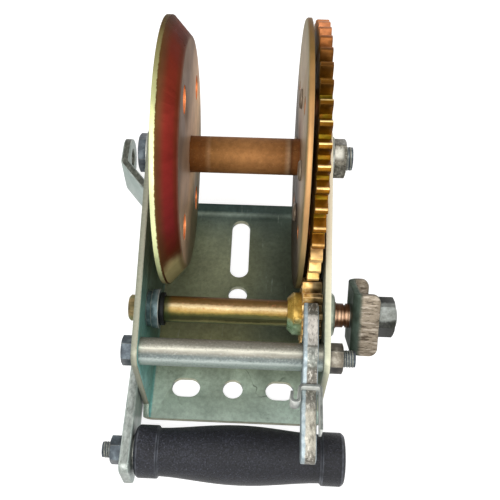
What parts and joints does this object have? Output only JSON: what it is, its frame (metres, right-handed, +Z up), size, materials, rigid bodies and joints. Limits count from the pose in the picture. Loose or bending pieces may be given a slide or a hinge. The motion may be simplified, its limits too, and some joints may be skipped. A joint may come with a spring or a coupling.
{
  "type": "hand winch",
  "caption": "Hand-cranked spur gear winch: bent channel frame, geared drum with one dished flange, pawl with thumb lever, loose crank with moulded grip.",
  "frame": {"origin": "middle of the flat underside of the base plate", "axes": "+X along the shafts, from the dished flange towards the gear; +Y to the rear, from the grip towards the drum; +Z up from the base"},
  "size_m": [0.1588, 0.2248, 0.1502],
  "materials": {
    "frame": "zinc plated, satin, greenish",
    "axle_bolt": "bright zinc plated",
    "axle_washers": "bright zinc plated",
    "axle_nut": "bright zinc plated",
    "spacer_tube": "bright zinc plated",
    "spacer_bolt": "bright zinc plated",
    "spacer_nut": "bright zinc plated",
    "left_bush": "sintered steel, zinc plated",
    "right_bush": "sintered steel, zinc plated",
    "drum_core": "yellow passivated zinc, copper brown",
    "left_flange": "yellow passivated zinc, iridescent",
    "right_flange": "yellow passivated zinc",
    "drum_gear": "yellow passivated zinc, gold brown",
    "gear_rivets": "yellow passivated zinc",
    "drum_bushes": "moulded black nylon",
    "drive_shaft": "yellow passivated zinc, bright gold",
    "pinion": "yellow passivated zinc, copper brown",
    "pinion_collar": "yellow passivated zinc, greenish",
    "collar_pin": "plain spring steel",
    "thrust_washer": "moulded black nylon",
    "shaft_clip": "blackened spring steel",
    "crank_bracket": "zinc plated, dull grey green",
    "bracket_nut": "bright zinc plated",
    "pawl": "zinc plated, rough sheared edges",
    "pawl_clip": "bright zinc plated spring steel",
    "crank_arm": "zinc plated, satin",
    "grip_bolt": "bright zinc plated",
    "grip_washer": "bright zinc plated",
    "grip_nut": "bright zinc plated",
    "grip": "moulded charcoal plastic, fine grain"
  },
  "bodies": {
    "frame": {"frame": "frame", "axle_bolt": "axle_bolt", "axle_washers": "axle_washers", "axle_nut": "axle_nut", "spacer_tube": "spacer_tube", "spacer_bolt": "spacer_bolt", "spacer_nut": "spacer_nut", "left_bush": "left_bush", "right_bush": "right_bush"},
    "drum": {"drum_core": "drum_core", "left_flange": "left_flange", "right_flange": "right_flange", "drum_gear": "drum_gear", "gear_rivets": "gear_rivets", "drum_bushes": "drum_bushes"},
    "drive": {"drive_shaft": "drive_shaft", "pinion": "pinion", "pinion_collar": "pinion_collar", "collar_pin": "collar_pin", "thrust_washer": "thrust_washer", "shaft_clip": "shaft_clip", "crank_bracket": "crank_bracket", "bracket_nut": "bracket_nut"},
    "pawl": {"pawl": "pawl", "pawl_clip": "pawl_clip"},
    "crank": {"crank_arm": "crank_arm", "grip_bolt": "grip_bolt", "grip_washer": "grip_washer", "grip_nut": "grip_nut"},
    "grip": {"grip": "grip"}
  },
  "joints": [
    {"name": "drum_spin", "type": "hinge", "parent": "frame", "child": "drum", "pos_m": [0, 0.0494, 0.0812], "axis": [1, 0, 0], "continuous": true},
    {"name": "drive_spin", "type": "hinge", "parent": "frame", "child": "drive", "pos_m": [0, -0.02591, 0.04751], "axis": [1, 0, 0], "continuous": true},
    {"name": "pawl_pivot", "type": "hinge", "parent": "frame", "child": "pawl", "pos_m": [0, -0.05424, 0.05574], "axis": [1, 0, 0], "range_deg": [0, 14]},
    {"name": "crank_draw", "type": "slide", "parent": "frame", "child": "crank", "axis": [-1, 0, 0], "range_m": [0, 0.12]},
    {"name": "grip_spin", "type": "hinge", "parent": "crank", "child": "grip", "pos_m": [0, -0.0914, 0.0153], "axis": [1, 0, 0], "continuous": true}
  ],
  "couplings": [
    {"joint": "drive_spin", "follows": "drum_spin", "ratio": -4}
  ]
}
